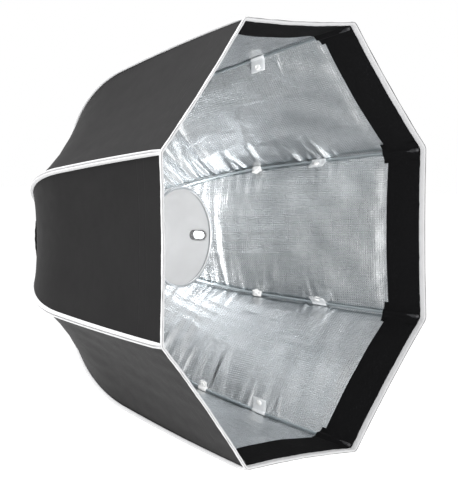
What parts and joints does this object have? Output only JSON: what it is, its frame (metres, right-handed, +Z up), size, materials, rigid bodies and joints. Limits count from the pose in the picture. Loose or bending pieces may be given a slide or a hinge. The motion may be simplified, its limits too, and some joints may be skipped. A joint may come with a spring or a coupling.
{
  "type": "folding octabox",
  "caption": "Folding octagonal softbox: black cloth with silver lining on sprung ribs, a turning lamp ring and a bowl reflector.",
  "frame": {"origin": "centre of the lamp ring's bore, in the plane of its rear face, where the lamp's front seats", "axes": "the mouth faces -Y and the lamp leaves towards +Y; +Z is up, with the lock knob at the bottom"},
  "size_m": [0.6044, 0.4237, 0.6044],
  "materials": {
    "ring_alloy": "satin turned",
    "dark_alloy": "satin anodised",
    "steel": "satin",
    "bowl_alloy": "fine matt",
    "liner": "smooth",
    "hub_black": "satin black",
    "black_plastic": "fine texture",
    "rod_steel": "drawn wire",
    "white_plastic": "moulded",
    "grey_binding": "woven tape",
    "black_cloth": "coated nylon",
    "silver_lining": "metallised ripstop",
    "loop_tape": "brushed loop"
  },
  "bodies": {
    "mount": {"mount_ring": "ring_alloy", "retaining_ring": "dark_alloy", "ring_screws": "steel", "reflector_bowl": "bowl_alloy", "slot_grommet": "liner"},
    "hub": {"hub_plate": "hub_black", "guide_sleeve": "dark_alloy", "hinge_pins": "steel", "detent_springs": "steel", "back_cuff": "black_cloth"},
    "collar": {"slide_collar": "black_plastic"},
    "knob": {"lock_knob": "black_plastic"},
    "rib_1": {"knuckle_1": "black_plastic", "rod_1": "rod_steel", "fittings_1": "white_plastic", "piping_1": "grey_binding"},
    "gore_1_left": {"cloth_1_left": "black_cloth"},
    "gore_1_right": {"cloth_1_right": "black_cloth"},
    "rib_2": {"knuckle_2": "black_plastic", "rod_2": "rod_steel", "fittings_2": "white_plastic", "piping_2": "grey_binding"},
    "gore_2_left": {"cloth_2_left": "black_cloth"},
    "gore_2_right": {"cloth_2_right": "black_cloth"},
    "rib_3": {"knuckle_3": "black_plastic", "rod_3": "rod_steel", "fittings_3": "white_plastic", "piping_3": "grey_binding"},
    "gore_3_left": {"cloth_3_left": "black_cloth"},
    "gore_3_right": {"cloth_3_right": "black_cloth"},
    "rib_4": {"knuckle_4": "black_plastic", "rod_4": "rod_steel", "fittings_4": "white_plastic", "piping_4": "grey_binding"},
    "gore_4_left": {"cloth_4_left": "black_cloth"},
    "gore_4_right": {"cloth_4_right": "black_cloth"},
    "rib_5": {"knuckle_5": "black_plastic", "rod_5": "rod_steel", "fittings_5": "white_plastic", "piping_5": "grey_binding"},
    "gore_5_left": {"cloth_5_left": "black_cloth"},
    "gore_5_right": {"cloth_5_right": "black_cloth"},
    "rib_6": {"knuckle_6": "black_plastic", "rod_6": "rod_steel", "fittings_6": "white_plastic", "piping_6": "grey_binding"},
    "gore_6_left": {"cloth_6_left": "black_cloth"},
    "gore_6_right": {"cloth_6_right": "black_cloth"},
    "rib_7": {"knuckle_7": "black_plastic", "rod_7": "rod_steel", "fittings_7": "white_plastic", "piping_7": "grey_binding"},
    "gore_7_left": {"cloth_7_left": "black_cloth"},
    "gore_7_right": {"cloth_7_right": "black_cloth"},
    "rib_8": {"knuckle_8": "black_plastic", "rod_8": "rod_steel", "fittings_8": "white_plastic", "piping_8": "grey_binding"},
    "gore_8_left": {"cloth_8_left": "black_cloth"},
    "gore_8_right": {"cloth_8_right": "black_cloth"}
  },
  "joints": [
    {"name": "ring_turn", "type": "hinge", "parent": "mount", "child": "hub", "pos_m": [0, 0, 0], "axis": [0, -1, 0], "continuous": true},
    {"name": "knob_turn", "type": "hinge", "parent": "hub", "child": "knob", "pos_m": [0, -0.0035, -0.1], "axis": [0, 0, -1], "range_deg": [0, 270]},
    {"name": "rib_1_fold", "type": "hinge", "parent": "hub", "child": "rib_1", "pos_m": [0.08869, -0.029, 0.03674], "axis": [0.3827, 0, -0.9239], "range_deg": [0, 32]},
    {"name": "gore_1_left_pleat", "type": "hinge", "parent": "rib_1", "child": "gore_1_left", "pos_m": [0.27716, -0.41, 0.11481], "axis": [-0.361, 0.9205, -0.1495], "range_deg": [0, 102.5], "deforming": ["cloth_1_left"]},
    {"name": "gore_1_right_pleat", "type": "hinge", "parent": "rib_1", "child": "gore_1_right", "pos_m": [0.27716, -0.41, 0.11481], "axis": [0.361, -0.9205, 0.1495], "range_deg": [0, 102.5], "deforming": ["cloth_1_right"]},
    {"name": "rib_2_fold", "type": "hinge", "parent": "hub", "child": "rib_2", "pos_m": [0.03674, -0.029, 0.08869], "axis": [0.9239, 0, -0.3827], "range_deg": [0, 32]},
    {"name": "gore_2_left_pleat", "type": "hinge", "parent": "rib_2", "child": "gore_2_left", "pos_m": [0.11481, -0.41, 0.27716], "axis": [-0.1495, 0.9205, -0.361], "range_deg": [0, 102.5], "deforming": ["cloth_2_left"]},
    {"name": "gore_2_right_pleat", "type": "hinge", "parent": "rib_2", "child": "gore_2_right", "pos_m": [0.11481, -0.41, 0.27716], "axis": [0.1495, -0.9205, 0.361], "range_deg": [0, 102.5], "deforming": ["cloth_2_right"]},
    {"name": "rib_3_fold", "type": "hinge", "parent": "hub", "child": "rib_3", "pos_m": [-0.03674, -0.029, 0.08869], "axis": [0.9239, 0, 0.3827], "range_deg": [0, 32]},
    {"name": "gore_3_left_pleat", "type": "hinge", "parent": "rib_3", "child": "gore_3_left", "pos_m": [-0.11481, -0.41, 0.27716], "axis": [0.1495, 0.9205, -0.361], "range_deg": [0, 102.5], "deforming": ["cloth_3_left"]},
    {"name": "gore_3_right_pleat", "type": "hinge", "parent": "rib_3", "child": "gore_3_right", "pos_m": [-0.11481, -0.41, 0.27716], "axis": [-0.1495, -0.9205, 0.361], "range_deg": [0, 102.5], "deforming": ["cloth_3_right"]},
    {"name": "rib_4_fold", "type": "hinge", "parent": "hub", "child": "rib_4", "pos_m": [-0.08869, -0.029, 0.03674], "axis": [0.3827, 0, 0.9239], "range_deg": [0, 32]},
    {"name": "gore_4_left_pleat", "type": "hinge", "parent": "rib_4", "child": "gore_4_left", "pos_m": [-0.27716, -0.41, 0.11481], "axis": [0.361, 0.9205, -0.1495], "range_deg": [0, 102.5], "deforming": ["cloth_4_left"]},
    {"name": "gore_4_right_pleat", "type": "hinge", "parent": "rib_4", "child": "gore_4_right", "pos_m": [-0.27716, -0.41, 0.11481], "axis": [-0.361, -0.9205, 0.1495], "range_deg": [0, 102.5], "deforming": ["cloth_4_right"]},
    {"name": "rib_5_fold", "type": "hinge", "parent": "hub", "child": "rib_5", "pos_m": [-0.08869, -0.029, -0.03674], "axis": [-0.3827, 0, 0.9239], "range_deg": [0, 32]},
    {"name": "gore_5_left_pleat", "type": "hinge", "parent": "rib_5", "child": "gore_5_left", "pos_m": [-0.27716, -0.41, -0.11481], "axis": [0.361, 0.9205, 0.1495], "range_deg": [0, 102.5], "deforming": ["cloth_5_left"]},
    {"name": "gore_5_right_pleat", "type": "hinge", "parent": "rib_5", "child": "gore_5_right", "pos_m": [-0.27716, -0.41, -0.11481], "axis": [-0.361, -0.9205, -0.1495], "range_deg": [0, 102.5], "deforming": ["cloth_5_right"]},
    {"name": "rib_6_fold", "type": "hinge", "parent": "hub", "child": "rib_6", "pos_m": [-0.03674, -0.029, -0.08869], "axis": [-0.9239, 0, 0.3827], "range_deg": [0, 32]},
    {"name": "gore_6_left_pleat", "type": "hinge", "parent": "rib_6", "child": "gore_6_left", "pos_m": [-0.11481, -0.41, -0.27716], "axis": [0.1495, 0.9205, 0.361], "range_deg": [0, 102.5], "deforming": ["cloth_6_left"]},
    {"name": "gore_6_right_pleat", "type": "hinge", "parent": "rib_6", "child": "gore_6_right", "pos_m": [-0.11481, -0.41, -0.27716], "axis": [-0.1495, -0.9205, -0.361], "range_deg": [0, 102.5], "deforming": ["cloth_6_right"]},
    {"name": "rib_7_fold", "type": "hinge", "parent": "hub", "child": "rib_7", "pos_m": [0.03674, -0.029, -0.08869], "axis": [-0.9239, 0, -0.3827], "range_deg": [0, 32]},
    {"name": "gore_7_left_pleat", "type": "hinge", "parent": "rib_7", "child": "gore_7_left", "pos_m": [0.11481, -0.41, -0.27716], "axis": [-0.1495, 0.9205, 0.361], "range_deg": [0, 102.5], "deforming": ["cloth_7_left"]},
    {"name": "gore_7_right_pleat", "type": "hinge", "parent": "rib_7", "child": "gore_7_right", "pos_m": [0.11481, -0.41, -0.27716], "axis": [0.1495, -0.9205, -0.361], "range_deg": [0, 102.5], "deforming": ["cloth_7_right"]},
    {"name": "rib_8_fold", "type": "hinge", "parent": "hub", "child": "rib_8", "pos_m": [0.08869, -0.029, -0.03674], "axis": [-0.3827, 0, -0.9239], "range_deg": [0, 32]},
    {"name": "gore_8_left_pleat", "type": "hinge", "parent": "rib_8", "child": "gore_8_left", "pos_m": [0.27716, -0.41, -0.11481], "axis": [-0.361, 0.9205, 0.1495], "range_deg": [0, 102.5], "deforming": ["cloth_8_left"]},
    {"name": "gore_8_right_pleat", "type": "hinge", "parent": "rib_8", "child": "gore_8_right", "pos_m": [0.27716, -0.41, -0.11481], "axis": [0.361, -0.9205, -0.1495], "range_deg": [0, 102.5], "deforming": ["cloth_8_right"]},
    {"name": "collar_slide", "type": "slide", "parent": "hub", "child": "collar", "axis": [0, -1, 0], "range_m": [-0.00727, 0], "deforming": ["detent_springs"]}
  ],
  "couplings": [
    {"joint": "gore_1_left_pleat", "follows": "rib_1_fold", "ratio": 3.2},
    {"joint": "gore_1_right_pleat", "follows": "rib_1_fold", "ratio": 3.2},
    {"joint": "rib_2_fold", "follows": "rib_1_fold", "ratio": 1},
    {"joint": "gore_2_left_pleat", "follows": "rib_1_fold", "ratio": 3.2},
    {"joint": "gore_2_right_pleat", "follows": "rib_1_fold", "ratio": 3.2},
    {"joint": "rib_3_fold", "follows": "rib_1_fold", "ratio": 1},
    {"joint": "gore_3_left_pleat", "follows": "rib_1_fold", "ratio": 3.2},
    {"joint": "gore_3_right_pleat", "follows": "rib_1_fold", "ratio": 3.2},
    {"joint": "rib_4_fold", "follows": "rib_1_fold", "ratio": 1},
    {"joint": "gore_4_left_pleat", "follows": "rib_1_fold", "ratio": 3.2},
    {"joint": "gore_4_right_pleat", "follows": "rib_1_fold", "ratio": 3.2},
    {"joint": "rib_5_fold", "follows": "rib_1_fold", "ratio": 1},
    {"joint": "gore_5_left_pleat", "follows": "rib_1_fold", "ratio": 3.2},
    {"joint": "gore_5_right_pleat", "follows": "rib_1_fold", "ratio": 3.2},
    {"joint": "rib_6_fold", "follows": "rib_1_fold", "ratio": 1},
    {"joint": "gore_6_left_pleat", "follows": "rib_1_fold", "ratio": 3.2},
    {"joint": "gore_6_right_pleat", "follows": "rib_1_fold", "ratio": 3.2},
    {"joint": "rib_7_fold", "follows": "rib_1_fold", "ratio": 1},
    {"joint": "gore_7_left_pleat", "follows": "rib_1_fold", "ratio": 3.2},
    {"joint": "gore_7_right_pleat", "follows": "rib_1_fold", "ratio": 3.2},
    {"joint": "rib_8_fold", "follows": "rib_1_fold", "ratio": 1},
    {"joint": "gore_8_left_pleat", "follows": "rib_1_fold", "ratio": 3.2},
    {"joint": "gore_8_right_pleat", "follows": "rib_1_fold", "ratio": 3.2},
    {"joint": "collar_slide", "follows": "rib_1_fold", "m_per_rad": -0.012832}
  ]
}
